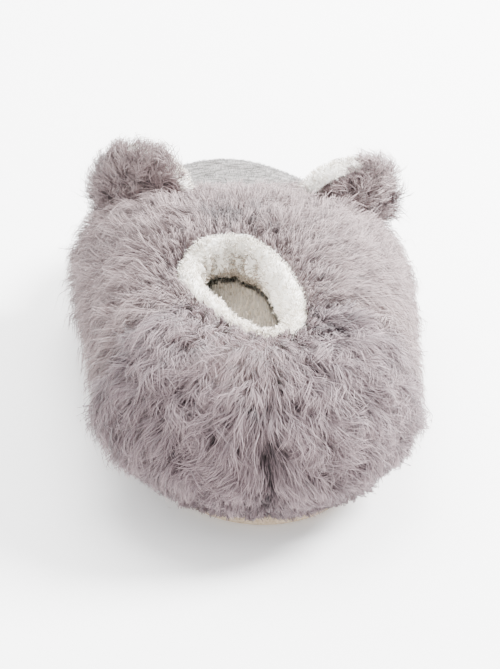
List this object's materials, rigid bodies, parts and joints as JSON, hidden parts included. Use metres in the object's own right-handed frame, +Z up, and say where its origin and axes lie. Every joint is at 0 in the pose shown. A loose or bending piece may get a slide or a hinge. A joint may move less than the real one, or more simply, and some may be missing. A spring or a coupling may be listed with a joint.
{
  "type": "slipper",
  "caption": "Closed-back plush slipper shaped as an animal: long fur over heel and sides, padded smooth toe, round ears, rolled fleece collar and a thin soft sole.",
  "frame": {"origin": "middle of the slipper's bounding box, on the floor it stands on", "axes": "+Y towards the toe, +X towards the outer side of the right foot, +Z up"},
  "size_m": [0.1392, 0.2862, 0.0784],
  "materials": {
    "fur": "long wavy plush pile, mauve grey",
    "fleece": "nubby curled fleece, off-white",
    "jersey": "brushed heather knit, light grey",
    "sole_fabric": "woven tan sole cloth with raised grip dots"
  },
  "bodies": {
    "root": {"upper": "fur", "face_panel": "jersey", "collar_cuff": "fleece", "insole": "fleece", "outsole": "sole_fabric", "ear_left_back": "fur", "ear_left_front": "fleece", "ear_right_back": "fur", "ear_right_front": "fleece"}
  },
  "joints": []
}
